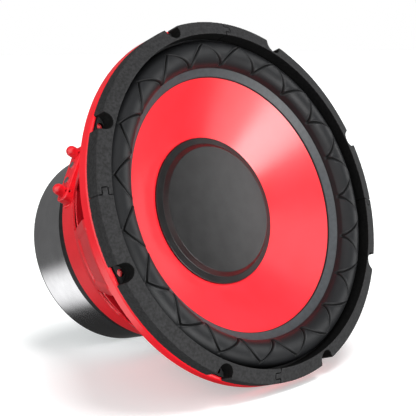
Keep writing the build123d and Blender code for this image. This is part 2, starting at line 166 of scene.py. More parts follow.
# ---- cone and cap --------------------------------------------------------
CONE_T = 1.0
CONE_T_ALONG = 1.18                  # the slanted wall's thickness along the axis
CONE_ROW = 6
KNEE = (60.0, 36.2)
NECK = (33.5, 64.5)
KNEE_BEND = 30.0
NECK_RING = (32.6, 34.0, 63.0, 67.5)
CAP_R = 66.0
CAP_EDGE_Y = 30.8
CAP_FOOT = (60.0, 29.6)
CAP_TOP = (56.5, 25.6)
CAP_CROWN_Y = 23.6
CAP_T = 1.2
CAP_ROUND = 0.9

# ---- motor ---------------------------------------------------------------
PLATE_R = 95.5
PLATE_BORE = 35.2
PLATE_Y = (126.5, 137.5)
COVER_MOUTH = (95.0, 137.7)
COVER_BACK = (92.0, 190.0)
COVER_HOLE_R = 17.0
COVER_T = 1.5
COVER_CORNER = 6.0

# ---- spider, leads and springs ----------------------------------------------------
SPIDER_R = (36.0, 85.0, 93.0)
SPIDER_T = 0.8
SPIDER_WAVES = 4
SPIDER_WAVE_H = 2.6
FORMER_R = 32.5
COLLAR = (34.2, 74.5, 82.5)
SIGNS = ("negative", "positive")     # one terminal of each
LEAD_Y = (60.0, 88.0)                # depths that hold() is given for a lead


# ---- making meshes -------------------------------------------------------
def add_piece(name, points, faces, made, sharp=SMOOTH_UP_TO):
    """Mesh object from points in millimetres, smooth with crisp edges."""
    mesh = bpy.data.meshes.new(name)
    mesh.from_pydata((np.asarray(points) * MM).tolist(), [], faces)
    bm = bmesh.new()
    bm.from_mesh(mesh)
    bmesh.ops.remove_doubles(bm, verts=bm.verts, dist=1e-6)
    bmesh.ops.recalc_face_normals(bm, faces=bm.faces)
    bm.to_mesh(mesh)
    bm.free()
    mesh.shade_smooth()
    mesh.set_sharp_from_angle(angle=sharp)
    mesh.materials.append(made)
    piece = bpy.data.objects.new(name, mesh)
    bpy.context.scene.collection.objects.link(piece)
    return piece


def grid_faces(turns, width):
    """Quads of a closed outline that goes once round the axis."""
    faces = []
    for i in range(turns):
        here, there = i * width, (i + 1) % turns * width
        for j in range(width):
            k = (j + 1) % width
            faces.append((here + j, here + k, there + k, there + j))
    return faces


def around(radius, y, degrees):
    """Points at a radius, depth and angle; any of them may be an array."""
    angle = np.radians(degrees)
    flat = np.zeros(np.broadcast(radius, y, angle).shape)
    return np.stack([radius * np.cos(angle), y + flat, radius * np.sin(angle)], axis=-1)


def swung(points, degrees):
    """Points turned round the axis by an angle."""
    cos, sin = math.cos(math.radians(degrees)), math.sin(math.radians(degrees))
    x, y, z = np.array(points).T
    return np.stack([x * cos - z * sin, y, x * sin + z * cos], axis=1)


def turned(name, outline, made, steps=TURNS):
    """Closed (radius, y) outline turned round the axis."""
    outline = np.array(outline)
    degrees = np.arange(steps) * 360 / steps
    points = around(outline[None, :, 0], outline[None, :, 1], degrees[:, None])
    return add_piece(name, points.reshape(-1, 3), grid_faces(steps, len(outline)), made)


def rounded(points, radius, steps=5, closed=True):
    """Outline with its corners rounded and each round held by nearby points."""
    points = [np.array(point, float) for point in points]
    count = len(points)
    result = []
    for i, corner in enumerate(points):
        before, after = points[i - 1] - corner, points[(i + 1) % count] - corner
        room = 0.42 * min(np.linalg.norm(before), np.linalg.norm(after))
        before, after = before / np.linalg.norm(before), after / np.linalg.norm(after)
        half = math.acos(np.clip(before @ after, -1, 1)) / 2
        is_end = not closed and i in (0, count - 1)
        if is_end or half > math.radians(88):
            result.append(corner)
            continue
        reach = min(radius / math.tan(half), room)
        middle = corner + (before + after) * reach / (2 * math.cos(half) ** 2)
        start, end = corner + before * reach, corner + after * reach
        hold = min(0.3, 0.2 * room)
        result.append(start + before * hold)
        sweep = math.pi - 2 * half
        for k in range(steps + 1):
            part = k / steps
            from_start = math.sin((1 - part) * sweep) * (start - middle)
            from_end = math.sin(part * sweep) * (end - middle)
            result.append(middle + (from_start + from_end) / math.sin(sweep))
        result.append(end + after * hold)
    return result


def arc(start, middle, end, steps):
    """Points along the circle through three (radius, y) points."""
    (ax, ay), (bx, by), (cx, cy) = start, middle, end
    twice = 2 * (ax * (by - cy) + bx * (cy - ay) + cx * (ay - by))
    a2, b2, c2 = ax * ax + ay * ay, bx * bx + by * by, cx * cx + cy * cy
    ux = (a2 * (by - cy) + b2 * (cy - ay) + c2 * (ay - by)) / twice
    uy = (a2 * (cx - bx) + b2 * (ax - cx) + c2 * (bx - ax)) / twice
    size = math.hypot(ax - ux, ay - uy)
    first = math.atan2(ay - uy, ax - ux)
    through = (math.atan2(by - uy, bx - ux) - first) % (2 * math.pi)
    sweep = (math.atan2(cy - uy, cx - ux) - first) % (2 * math.pi)
    if through > sweep:
        sweep -= 2 * math.pi
    angles = first + sweep * np.arange(steps + 1) / steps
    return [(ux + size * math.cos(a), uy + size * math.sin(a)) for a in angles]


def smoothstep(value, low, high):
    """Smooth rise from 0 at the low value to 1 at the high one."""
    part = np.clip((value - low) / (high - low), 0, 1)
    return part * part * (3 - 2 * part)


def cone_y(radius):
    """Depth of the cone's front face outside its knee."""
    return RIM_Y + (RIM_R - radius) * CONE_SLOPE


# ---- making materials ----------------------------------------------------
def finish(name, roughness, metallic=0.0, coat=0.0, coat_roughness=0.1, specular=0.5):
    """Principled material whose even values sit on the shader itself."""
    made = bpy.data.materials.new(name)
    made.use_nodes = True
    shader = made.node_tree.nodes["Principled BSDF"]
    shader.inputs["Roughness"].default_value = roughness
    shader.inputs["Metallic"].default_value = metallic
    shader.inputs["Coat Weight"].default_value = coat
    shader.inputs["Coat Roughness"].default_value = coat_roughness
    shader.inputs["Specular IOR Level"].default_value = specular
    return made


def texture(made, kind, scale, **values):
    """Texture node read at the object's own coordinates."""
    nodes, links = made.node_tree.nodes, made.node_tree.links
    place = nodes.new("ShaderNodeTexCoord")
    node = nodes.new(kind)
    node.inputs["Scale"].default_value = scale
    for name, value in values.items():
        node.inputs[name].default_value = value
    links.new(place.outputs["Object"], node.inputs["Vector"])
    return node.outputs[0]


def noise(made, size, detail=3.0):
    """Noise whose blotches are about this many millimetres across."""
    return texture(made, "ShaderNodeTexNoise", 1 / (size * MM), Detail=detail)


def colour(made, pattern, dark, light, low=0.35, high=0.65):
    """Base colour that runs between two tones with a pattern."""
    nodes, links = made.node_tree.nodes, made.node_tree.links
    ramp = nodes.new("ShaderNodeValToRGB")
    ramp.color_ramp.elements[0].position = low
    ramp.color_ramp.elements[0].color = (*dark, 1)
    ramp.color_ramp.elements[1].position = high
    ramp.color_ramp.elements[1].color = (*light, 1)
    links.new(pattern, ramp.inputs["Fac"])
    links.new(ramp.outputs["Color"], nodes["Principled BSDF"].inputs["Base Color"])


def gloss(made, pattern, low, high):
    """Roughness that runs between two values with a pattern."""
    nodes, links = made.node_tree.nodes, made.node_tree.links
    spread = nodes.new("ShaderNodeMapRange")
    spread.inputs["To Min"].default_value = low
    spread.inputs["To Max"].default_value = high
    links.new(pattern, spread.inputs["Value"])
    links.new(spread.outputs["Result"], nodes["Principled BSDF"].inputs["Roughness"])


def relief(made, pattern, height, strength=0.5):
    """Surface relief of this height in millimetres."""
    nodes, links = made.node_tree.nodes, made.node_tree.links
    bump = nodes.new("ShaderNodeBump")
    bump.inputs["Strength"].default_value = strength
    bump.inputs["Distance"].default_value = height * MM
    links.new(pattern, bump.inputs["Height"])
    links.new(bump.outputs["Normal"], nodes["Principled BSDF"].inputs["Normal"])


def red_paint():
    """Glossy powder coat with a faint orange peel."""
    made = finish("red_paint", 0.34, coat=0.3, coat_roughness=0.08, specular=0.35)
    peel = noise(made, 1.6)
    colour(made, noise(made, 30), (0.72, 0.009, 0.018), (0.82, 0.013, 0.024))
    gloss(made, peel, 0.26, 0.36)
    relief(made, peel, 0.04)
    return made


def red_plastic():
    """Moulded red plastic of the terminals."""
    made = finish("red_plastic", 0.32, coat=0.3)
    colour(made, noise(made, 6), (0.62, 0.008, 0.016), (0.74, 0.012, 0.022))
    relief(made, noise(made, 0.5), 0.02)
    return made


def cone_finish():
    """Satin moulded cone."""
    made = finish("cone_satin", 0.34, coat=0.4, coat_roughness=0.16)
    colour(made, noise(made, 25), (0.86, 0.016, 0.026), (0.90, 0.020, 0.032))
    gloss(made, noise(made, 0.8), 0.33, 0.40)
    relief(made, noise(made, 0.35), 0.012)
    return made


def cone_back_shade():
    """Painted shade: a near-black back for the cone, standing in for the shade inside the basket."""
    made = finish("cone_back_shade", 0.8, specular=0.2)
    colour(made, noise(made, 3, 6), (0.008, 0.007, 0.007), (0.016, 0.014, 0.014))
    relief(made, noise(made, 0.8), 0.06)
    return made


def gasket_rubber():
    """Matt moulded foam rubber with fine pores and pale specks."""
    made = finish("gasket_rubber", 0.72, specular=0.3)
    pores = noise(made, 0.9, 5)
    colour(made, noise(made, 2.2, 6), (0.009, 0.009, 0.0093), (0.022, 0.022, 0.023))
    gloss(made, pores, 0.62, 0.85)
    relief(made, pores, 0.16, 0.6)
    return made


def gasket_side_shade():
    """Painted shade: a near-black copy of the gasket's rubber for its sides."""
    made = finish("gasket_side_shade", 0.85, specular=0.1)
    colour(made, noise(made, 2.2, 6), (0.002, 0.002, 0.002), (0.005, 0.005, 0.005))
    relief(made, noise(made, 0.9, 5), 0.12, 0.6)
    return made


def roll_rubber():
    """Satin rubber of the roll with a blotchy tone, duller in its grooves, which painted shade
    darkens.
    """
    made = finish("roll_rubber", 0.42, specular=0.24)
    nodes, links = made.node_tree.nodes, made.node_tree.links
    groove_and_shade = nodes.new("ShaderNodeAttribute")
    groove_and_shade.attribute_name = "groove_and_shade"
    cloud = noise(made, 9)
    depth = nodes.new("ShaderNodeMath")
    depth.operation = "MULTIPLY_ADD"
    links.new(cloud, depth.inputs[0])
    depth.inputs[1].default_value = 0.25
    links.new(groove_and_shade.outputs["Fac"], depth.inputs[2])
    # painted shade: the colour runs to near black along the grooves; the cloud only varies the tone
    # at random
    colour(made, depth.outputs["Value"], (0.0105, 0.011, 0.012), (0.001, 0.001, 0.001), 0.1, 0.8)
    gloss(made, depth.outputs["Value"], 0.42, 0.8)
    relief(made, noise(made, 0.5), 0.02)
    return made


def glue_ring_rubber():
    """Paler flat ring where the surround is glued to the cone."""
    made = finish("glue_ring_rubber", 0.5)
    colour(made, noise(made, 4), (0.034, 0.039, 0.043), (0.046, 0.053, 0.058))
    gloss(made, noise(made, 1.5), 0.44, 0.56)
    relief(made, noise(made, 0.4), 0.02)
    return made


def cap_finish():
    """Dark satin cap."""
    made = finish("cap_satin", 0.3, coat=0.06, coat_roughness=0.2, specular=0.36)
    colour(made, noise(made, 12), (0.006, 0.0062, 0.0064), (0.011, 0.0113, 0.0116))
    gloss(made, noise(made, 0.7), 0.30, 0.40)
    relief(made, noise(made, 0.3), 0.015)
    return made


def cover_chrome():
    """Dark plating, polished but a little uneven."""
    made = finish("cover_chrome", 0.22, metallic=1.0)
    colour(made, noise(made, 20), (0.52, 0.52, 0.53), (0.58, 0.58, 0.59))
    gloss(made, noise(made, 6), 0.19, 0.25)
    relief(made, noise(made, 1.2), 0.008)
    return made


def black_steel():
    """Satin black paint of the top plate."""
    made = finish("black_steel", 0.45, specular=0.2)
    colour(made, noise(made, 5), (0.006, 0.006, 0.006), (0.014, 0.014, 0.014))
    relief(made, noise(made, 0.6), 0.03)
    return made


def ferrite():
    """Dull ceramic of the magnets."""
    made = finish("ferrite", 0.62)
    colour(made, noise(made, 2, 6), (0.022, 0.022, 0.024), (0.05, 0.05, 0.052))
    relief(made, noise(made, 0.7, 5), 0.08)
    return made


def bare_steel():
    """Plated rivets, eyelets, springs and yoke."""
    made = finish("bare_steel", 0.32, metallic=1.0)
    colour(made, noise(made, 3), (0.42, 0.42, 0.43), (0.60, 0.60, 0.61))
    gloss(made, noise(made, 0.8), 0.24, 0.42)
    relief(made, noise(made, 0.5), 0.015)
    return made


def brass():
    """Terminal contacts."""
    made = finish("brass", 0.28, metallic=1.0)
    colour(made, noise(made, 2), (0.62, 0.40, 0.12), (0.78, 0.53, 0.20))
    relief(made, noise(made, 0.4), 0.01)
    return made


def copper_wire():
    """Enamelled winding: fine turns along the axis."""
    made = finish("copper_wire", 0.3, metallic=1.0, coat=0.5)
    turns = texture(made, "ShaderNodeTexWave", 1600.0, Distortion=0.4)
    made.node_tree.nodes["Wave Texture"].bands_direction = "Y"
    colour(made, turns, (0.36, 0.11, 0.03), (0.72, 0.30, 0.12))
    relief(made, turns, 0.05)
    return made


def foil():
    """Metal foil of the voice-coil former."""
    made = finish("former_foil", 0.25, metallic=1.0)
    colour(made, noise(made, 4), (0.55, 0.55, 0.56), (0.75, 0.75, 0.76))
    relief(made, noise(made, 0.6), 0.01)
    return made


def spider_cloth():
    """Resin-dipped open weave."""
    made = finish("spider_cloth", 0.85, specular=0.2)
    warp = texture(made, "ShaderNodeTexWave", 520.0, Distortion=0.6)
    weft = texture(made, "ShaderNodeTexWave", 520.0, Distortion=0.6)
    nodes, links = made.node_tree.nodes, made.node_tree.links
    weft.node.bands_direction = "Z"
    weave = nodes.new("ShaderNodeMath")
    weave.operation = "MULTIPLY"
    links.new(warp, weave.inputs[0])
    links.new(weft, weave.inputs[1])
    threads = weave.outputs["Value"]
    colour(made, threads, (0.30, 0.20, 0.09), (0.62, 0.47, 0.26), 0.1, 0.7)
    relief(made, threads, 0.25, 0.7)
    return made


def lead_braid():
    """Braided strands of the flexible leads."""
    made = finish("lead_braid", 0.4, metallic=0.9)
    strands = texture(made, "ShaderNodeTexWave", 900.0, Distortion=1.5)
    colour(made, strands, (0.30, 0.26, 0.20), (0.74, 0.70, 0.62))
    relief(made, strands, 0.12)
    return made


def black_screen():
    """Painted mesh behind the vent."""
    made = finish("black_screen", 0.6)
    colour(made, noise(made, 1.5), (0.012, 0.012, 0.012), (0.03, 0.03, 0.03))
    relief(made, noise(made, 0.4), 0.04)
    return made


def floor_white():
    """Plain matt floor that also glows a little."""
    made = finish("floor_white", 0.9, specular=0.0)
    colour(made, noise(made, 120), (0.78, 0.78, 0.78), (0.80, 0.80, 0.80))
    nodes, links = made.node_tree.nodes, made.node_tree.links
    glowing = nodes.new("ShaderNodeEmission")
    glowing.inputs["Color"].default_value = (*FLOOR_GLOW, 1)
    both = nodes.new("ShaderNodeAddShader")
    links.new(nodes["Principled BSDF"].outputs["BSDF"], both.inputs[0])
    links.new(glowing.outputs["Emission"], both.inputs[1])
    links.new(both.outputs["Shader"], nodes["Material Output"].inputs["Surface"])
    return made


# ---- basket --------------------------------------------------------------
def window_half_width(y):
    """Half a window's width at a depth, with its corners rounded."""
    (front_y, front_w), (rear_y, rear_w) = WINDOW_FRONT, WINDOW_REAR
    inside = np.clip(y, front_y, rear_y)
    half = (front_w + (rear_w - front_w) * (inside - front_y) / (rear_y - front_y)) / 2
    to_end = np.minimum(inside - front_y, rear_y - inside)
    short = np.clip(WINDOW_CORNER - to_end, 0, WINDOW_CORNER)
    return half - (WINDOW_CORNER - np.sqrt(WINDOW_CORNER ** 2 - short ** 2))


def wall_depths():
    """Depths of the wall's rows, closer together at the window corners."""
    corner = WINDOW_CORNER * (1 - np.cos(np.radians(np.arange(0, 91, 15))))
    front, rear = WINDOW_FRONT[0], WINDOW_REAR[0]
    rows = [
        np.linspace(FLANGE_Y + FLANGE_BEND, front, 6),
        front + corner[1:],
        np.linspace(front + WINDOW_CORNER, rear - WINDOW_CORNER, 40)[1:],
        rear - corner[::-1][1:],
        np.linspace(rear, WALL[-1][1] - FLANGE_BEND, 14)[1:],
    ]
    return np.concatenate(rows)


def basket_rows():
    """(radius, y) of every row of the basket, from the lip to the bore."""
    seat_y = WALL[-1][1]
    path = [(LIP_R, LIP_EDGE_Y), (LIP_R, FLANGE_Y), (FLANGE_INNER_R, FLANGE_Y), *WALL]
    path.append((BORE_R, seat_y))
    bent = np.array(rounded(path, BEND_R, 5, closed=False))
    on_wall = (bent[:, 0] < FLANGE_INNER_R + 1) & (bent[:, 0] > WALL[-1][0] - 1)
    start, stop = np.flatnonzero(on_wall)[[0, -1]]
    wall_path = bent[start:stop + 1]
    depths = wall_depths()
    wall = np.stack([np.interp(depths, wall_path[:, 1], wall_path[:, 0]), depths], axis=1)
    before = bent[:stop][bent[:stop, 1] < depths[0]]
    before = before[before[:, 0] > FLANGE_INNER_R - 1]
    lip = bent[(bent[:, 0] > LIP_R - 1e-6) & (bent[:, 1] >= depths[0])]
    after = bent[start:][bent[start:, 1] > depths[-1]]
    seat = [(r, seat_y) for r in np.linspace(WALL[-1][0] - 8, BORE_R + 4, 7)]
    after = np.concatenate([after[:-1], seat, after[-1:]])
    return np.concatenate([lip, before, wall, after])


def column_shares():
    """How far across a window, and across an arm, each mesh column stands."""
    window = np.linspace(-1, 1, WINDOW_COLUMNS + 1)[:-1]
    crowded = 0.5 - 0.5 * np.cos(np.radians(np.linspace(0, 180, ARM_COLUMNS + 1)[:-1]))
    arm = 0.5 * crowded + 0.5 * np.linspace(0, 1, ARM_COLUMNS + 1)[:-1]
    return window, arm


def pressed_panels(radius, y, arm_width, arm):
    """How far the middles of the arms are pressed in, from 0 to 1."""
    share = np.concatenate([np.zeros(WINDOW_COLUMNS), np.minimum(arm, 1 - arm)])
    from_edge = np.tile(share, ARMS)[:, None] * arm_width
    pressed = smoothstep(from_edge, PANEL_MARGIN, PANEL_MARGIN + PANEL_SLOPE)
    pressed = pressed * smoothstep(y, PANEL_Y[0], PANEL_Y[0] + PANEL_SLOPE)
    pressed = pressed * (1 - smoothstep(y, PANEL_Y[1] - PANEL_SLOPE, PANEL_Y[1]))
    return pressed * is_wall(radius, y)


def is_wall(radius, y):
    """True on the conical wall, between the flange and the seat."""
    return (radius < FLANGE_INNER_R) & (y < WALL[-1][1] - 1)


def basket_shell(paint):
    """One sheet bent to the basket's section, with its windows left out."""
    radius, y = basket_rows().T
    edge = np.degrees(np.arcsin(window_half_width(y) / np.maximum(radius, FLANGE_INNER_R / 3)))
    span = 360 / ARMS - 2 * edge
    window, arm = column_shares()
    columns = []
    for k in range(ARMS):
        middle = FIRST_WINDOW + k * 360 / ARMS
        columns += [middle + edge * part for part in window]
        columns += [middle + edge + span * part for part in arm]
    pressed = pressed_panels(radius, y, np.radians(span) * radius, arm)
    points = around(radius - PANEL_DEPTH * pressed, y, np.array(columns)).reshape(-1, 3)
    depth = (y[:-1] + y[1:]) / 2
    open_rows = (WINDOW_FRONT[0] < depth) & (depth < WINDOW_REAR[0]) & is_wall(radius, y)[:-1]
    width, turns = len(y), len(columns)
    faces = []
    for i in range(turns):
        here, there = i * width, (i + 1) % turns * width
        in_window = i % (WINDOW_COLUMNS + ARM_COLUMNS) < WINDOW_COLUMNS
        for j in range(width - 1):
            if not (in_window and open_rows[j]):
                faces.append((here + j, here + j + 1, there + j + 1, there + j))
    return add_piece("basket_shell", points, faces, paint)


def apply_modifiers(piece):
    """Replace the piece's mesh by its modified one."""
    graph = bpy.context.evaluated_depsgraph_get()
    mesh = bpy.data.meshes.new_from_object(piece.evaluated_get(graph))
    piece.modifiers.clear()
    piece.data = mesh


def block(name, size, place, angle, made, soft):
    """Soft-edged block set out from the axis at an angle."""
    bm = bmesh.new()
    bmesh.ops.create_cube(bm, size=1)
    for v in bm.verts:
        v.co = [v.co[i] * size[i] + place[i] for i in range(3)]
    bmesh.ops.bevel(bm, geom=bm.edges, offset=soft, segments=3, profile=0.5, affect="EDGES")
    points = np.array([v.co for v in bm.verts])
    faces = [[v.index for v in f.verts] for f in bm.faces]
    bm.free()
    return add_piece(name, swung(points, angle), faces, made)


def join(pieces, name):
    """Merge several meshes into the first one."""
    bm = bmesh.new()
    for piece in pieces:
        bm.from_mesh(piece.data)
    bm.to_mesh(pieces[0].data)
    bm.free()
    for piece in pieces[1:]:
        bpy.data.objects.remove(piece)
    pieces[0].name = name
    pieces[0].data.set_sharp_from_angle(angle=SMOOTH_UP_TO)
    return pieces[0]


def add_rod(bm, middle, radius, low, high):
    """Closed rod parallel to the axis, from one depth to the other."""
    steps = np.radians(np.arange(HOLE_SIDES) * 360 / HOLE_SIDES)
    rings = []
    for depth in (low, high):
        rings.append([
            bm.verts.new((
                (middle[0] + radius * math.cos(step)) * MM,
                depth * MM,
                (middle[2] + radius * math.sin(step)) * MM,
            )) for step in steps])
    near, far = rings
    bm.faces.new(near)
    bm.faces.new(far[::-1])
    for i in range(HOLE_SIDES):
        j = (i + 1) % HOLE_SIDES
        bm.faces.new((near[j], near[i], far[i], far[j]))


def drill(piece, count, first, circle_r, hole_r, low, high):
    """Round holes parallel to the axis, evenly spread on a circle."""
    bm = bmesh.new()
    for k in range(count):
        add_rod(bm, around(circle_r, low, first + k * 360 / count), hole_r, low, high)
    bmesh.ops.recalc_face_normals(bm, faces=bm.faces)
    mesh = bpy.data.meshes.new("drill")
    bm.to_mesh(mesh)
    bm.free()
    cutter = bpy.data.objects.new("drill", mesh)
    bpy.context.scene.collection.objects.link(cutter)
    cut = piece.modifiers.new("holes", "BOOLEAN")
    cut.object = cutter
    cut.operation = "DIFFERENCE"
    cut.solver = "EXACT"
    bpy.context.view_layer.update()
    apply_modifiers(piece)
    bpy.data.objects.remove(cutter)
    piece.data.set_sharp_from_angle(angle=SMOOTH_UP_TO)


def basket(paint):
    """Pressed steel frame with its spider shelf and terminal pad."""
    shell = basket_shell(paint)
    thick = shell.modifiers.new("sheet", "SOLIDIFY")
    thick.thickness = SHEET * MM
    thick.offset = 1
    apply_modifiers(shell)
    drill(shell, SCREWS, FIRST_SCREW, SCREW_CIRCLE_R, SCREW_HOLE_R, FLANGE_Y - 3, 3)
    inner, outer = SHELF_R
    flat = [(inner, SHELF_Y), (outer, SHELF_Y), (outer, SHELF_Y + SHEET), (inner, SHELF_Y + SHEET)]
    shelf = turned("shelf", rounded(flat, 0.5, 3), paint)
    pad = block("pad", PAD_SIZE, (*PAD_MIDDLE, 0), PAD_ANGLE, paint, 0.8)
    whole = join([shell, shelf, pad], "basket_pressing")
    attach(whole, "frame")
    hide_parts("basket")


# ---- surround ------------------------------------------------------------
def arch_relief(degrees, share, radius):
    """Height of the moulded arches over the plain roll, in millimetres."""
    pitch = 360 / ARCHES
    from_apex = np.abs((degrees - FIRST_ARCH) % pitch - pitch / 2)
    along = np.clip((share - ARCH_INNER) / (ARCH_OUTER - ARCH_INNER), 0, 1)
    line = pitch / 2 * (LINE_GAP + (1 - LINE_GAP) * along ** LINE_BEND)
    away = np.radians(from_apex - line) * radius * LINE_SLANT
    ends = smoothstep(share, ARCH_INNER - ARCH_FADE, ARCH_INNER + ARCH_FADE / 3)
    ends = ends * (1 - smoothstep(share, ARCH_OUTER, ARCH_OUTER + ARCH_FADE))
    rim_height, rim_offset = LINE_RIM
    groove_and_shade = np.exp(-(away / LINE_WIDTH) ** 2)
    rims = np.exp(-((np.abs(away) - rim_offset * LINE_WIDTH) / LINE_WIDTH) ** 2)
    pad = smoothstep(away, -0.5, 2.5)
    rise = ends * (rim_height * LINE_DEPTH * rims - LINE_DEPTH * groove_and_shade) + PAD_RISE * ends * pad
    # the second value marks the grooves for the painted shade of the roll's colour
    return rise, ends * groove_and_shade


def surround_outline():
    """Closed (radius, y) outline of the plain surround; the roll's front comes second."""
    lift = RUBBER * math.hypot(1, CONE_SLOPE)
    middle = (ROLL_OUTER_R + ROLL_INNER_R) / 2
    inner_foot = (ROLL_INNER_R, cone_y(ROLL_INNER_R) - lift)
    roll = arc((ROLL_OUTER_R, LANDING_Y), (middle, ROLL_CREST), inner_foot, ROLL_STEPS)
    under_inner, under_outer = (ROLL_INNER_R + RUBBER, RIM_Y), (ROLL_OUTER_R - RUBBER, FLANGE_Y)
    under = arc(under_inner, (middle, ROLL_CREST + RUBBER), under_outer, UNDER_STEPS)
    glue_y = cone_y(GLUE_R)
    glue_edge = [
        (RIM_R, cone_y(RIM_R) - lift),
        (GLUE_R + GLUE_EDGE, glue_y - lift - 0.3),
        (GLUE_R + 0.1, glue_y - lift),
        (GLUE_R, glue_y - lift + 0.4),
        (GLUE_R, glue_y),
    ]
    outer_edge = [(LANDING_R, FLANGE_Y)]
    return np.array([(LANDING_R, LANDING_Y), *roll, *glue_edge, (RIM_R, RIM_Y), *under, *outer_edge])


def front_normals(outline):
    """Unit normals of an outline, on the side where its roll faces forwards."""
    along = np.roll(outline, -1, axis=0) - np.roll(outline, 1, axis=0)
    normal = np.stack([-along[:, 1], along[:, 0]], axis=1)
    normal /= np.linalg.norm(normal, axis=1)[:, None]
    return normal * -np.sign(normal[ROLL_STEPS // 2, 1])


def surround(rubber, ring_rubber):
    """Rubber roll with its moulded arches and its paler glue ring."""
    outline = surround_outline()
    normal = front_normals(outline)
    share = np.full(len(outline), -1.0)
    share[1:ROLL_STEPS + 2] = 1 - np.arange(ROLL_STEPS + 1) / ROLL_STEPS
    degrees = np.arange(ROLL_TURNS)[:, None] * 360 / ROLL_TURNS
    rise, groove_and_shade = arch_relief(degrees, share[None, :], outline[None, :, 0])
    rise, groove_and_shade = rise * (share >= 0), groove_and_shade * (share >= 0)
    radius = outline[:, 0] + rise * normal[:, 0]
    y = outline[:, 1] + rise * normal[:, 1]
    points = around(radius, y, degrees).reshape(-1, 3)
    faces = grid_faces(ROLL_TURNS, len(outline))
    piece = add_piece("surround_roll", points, faces, rubber, math.radians(55))
    # the groove values feed the painted shade in the roll's colour
    shade = piece.data.attributes.new("groove_and_shade", "FLOAT", "POINT")
    shade.data.foreach_set("value", groove_and_shade.reshape(-1).astype(np.float32))
    piece.data.materials.append(ring_rubber)
    ring_inner, ring_outer = (GLUE_R + 0.45) * MM, (ROLL_INNER_R - 0.2) * MM
    for face in piece.data.polygons:
        x, _, z = face.center
        if ring_inner < math.hypot(x, z) < ring_outer:
            face.material_index = 1
    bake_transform(piece)
    hold(piece, from_axis, RIM_R + 1, ROLL_OUTER_R - 0.5)
    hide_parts("surround")


def hold(piece, measure, moving, fixed):
    """Works out for each point a share running from one to nought between two values of a measure;
    the share is then not used.
    """
    places = np.zeros(len(piece.data.vertices) * 3, np.float32)
    piece.data.vertices.foreach_get("co", places)
    share = 1 - smoothstep(measure(places.reshape(-1, 3) / MM), moving, fixed)


def from_axis(places):
    """Each point's distance from the axis."""
    return np.hypot(places[:, 0], places[:, 2])


def depth_of(places):
    """Each point's depth along the axis."""
    return places[:, 1]


# ---- cone, cap and motor -------------------------------------------------
def cone(made, rear):
    """Thin cone that bends at its knee into the neck on the former."""
    front = rounded([(RIM_R, RIM_Y), KNEE, NECK], KNEE_BEND, 14, closed=False)
    dense = [front[0]]
    for here, there in zip(front[:-1], front[1:]):
        steps = max(1, round(math.dist(here, there) / CONE_ROW))
        dense += [here + (there - here) * (k + 1) / steps for k in range(steps)]
    back = [(r, y + CONE_T * CONE_T_ALONG) for r, y in dense[::-1]]
    body = turned("cone_body", [*dense, *back], made)
    body.data.materials.append(rear)
    # painted shade: faces turned backwards take the near-black material
    for face in body.data.polygons:
        face.material_index = int(face.normal.y > 0)
    inner, outer, front_y, rear_y = NECK_RING
    ring = rounded([(inner, front_y), (outer, front_y), (outer, rear_y), (inner, rear_y)], 0.3, 3)
    neck = turned("neck", ring, made)
    whole = join([body, neck], "cone_shell")
    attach(whole, "cone_assembly")
    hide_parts("cone")


def dust_cap(made):
    """Shallow puck raised from a narrow ring."""
    crown = [(r, CAP_CROWN_Y + (CAP_TOP[1] - CAP_CROWN_Y) * (r / CAP_TOP[0]) ** 2)
             for r in np.linspace(0, CAP_TOP[0] - 2.2, 14)]
    side = [crown[-1], CAP_TOP, CAP_FOOT, (CAP_R, CAP_EDGE_Y), (CAP_R, cone_y(CAP_R))]
    edge = rounded(side, CAP_ROUND, 5, False)
    inner = CAP_R - CAP_T
    under = [(inner, cone_y(inner)), (inner, CAP_EDGE_Y + CAP_T), (CAP_FOOT[0], CAP_FOOT[1] + CAP_T)]
    under += [(CAP_TOP[0] - 1, CAP_TOP[1] + CAP_T), (0, CAP_CROWN_Y + CAP_T)]
    piece = turned("dust_cap_shell", [*crown[:-1], *edge, *under], made)
    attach(piece, "cone_assembly")
    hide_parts("dust_cap")


def magnet_cover(made):
    """Deep plated cup over the magnets, with a vent hole in its end."""
    (mouth_r, mouth_y), (back_r, back_y) = COVER_MOUTH, COVER_BACK
    outside = [(COVER_HOLE_R, back_y), (back_r, back_y), (mouth_r, mouth_y)]
    inside = [
        (COVER_HOLE_R, back_y - COVER_T),
        (back_r - COVER_T, back_y - COVER_T),
        (mouth_r - COVER_T, mouth_y),
    ]
    outer = rounded(outside, COVER_CORNER, 10, False)
    inner = rounded(inside, COVER_CORNER - COVER_T, 8, False)
    piece = turned("cover_cup", [*outer, *inner[::-1]], made, 480)
    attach(piece, "frame")
    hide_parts("magnet_cover")


def top_plate(made):
    """Ring between the basket's seat and the front magnet."""
    front, rear = PLATE_Y
    outline = [(PLATE_BORE, front), (PLATE_R, front), (PLATE_R, rear), (PLATE_BORE, rear)]
    piece = turned("front_plate", rounded(outline, 0.8, 4), made)
    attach(piece, "frame")
    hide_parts("top_plate")


def spider(made):
    """Waved cloth disc with a short collar on the former."""
    inner, flat_r, outer = SPIDER_R
    flat = SHELF_Y - SPIDER_T
    share = np.linspace(0, 1, 97)
    radius = inner + share * (flat_r - inner)
    front_y = flat - SPIDER_WAVE_H * (1 - np.cos(2 * math.pi * SPIDER_WAVES * share)) / 2
    front = list(zip(radius, front_y)) + [(outer, flat)]
    back = [(r, y + SPIDER_T) for r, y in front[::-1]]
    tube_r, tube_front, tube_rear = COLLAR
    neck = [(tube_r, tube_rear), (FORMER_R, tube_rear), (FORMER_R, tube_front), (tube_r, tube_front)]
    disc = turned("spider_disc", [*front, *back, *neck], made)
    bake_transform(disc)
    hold(disc, from_axis, inner, flat_r)
    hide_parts("spider")


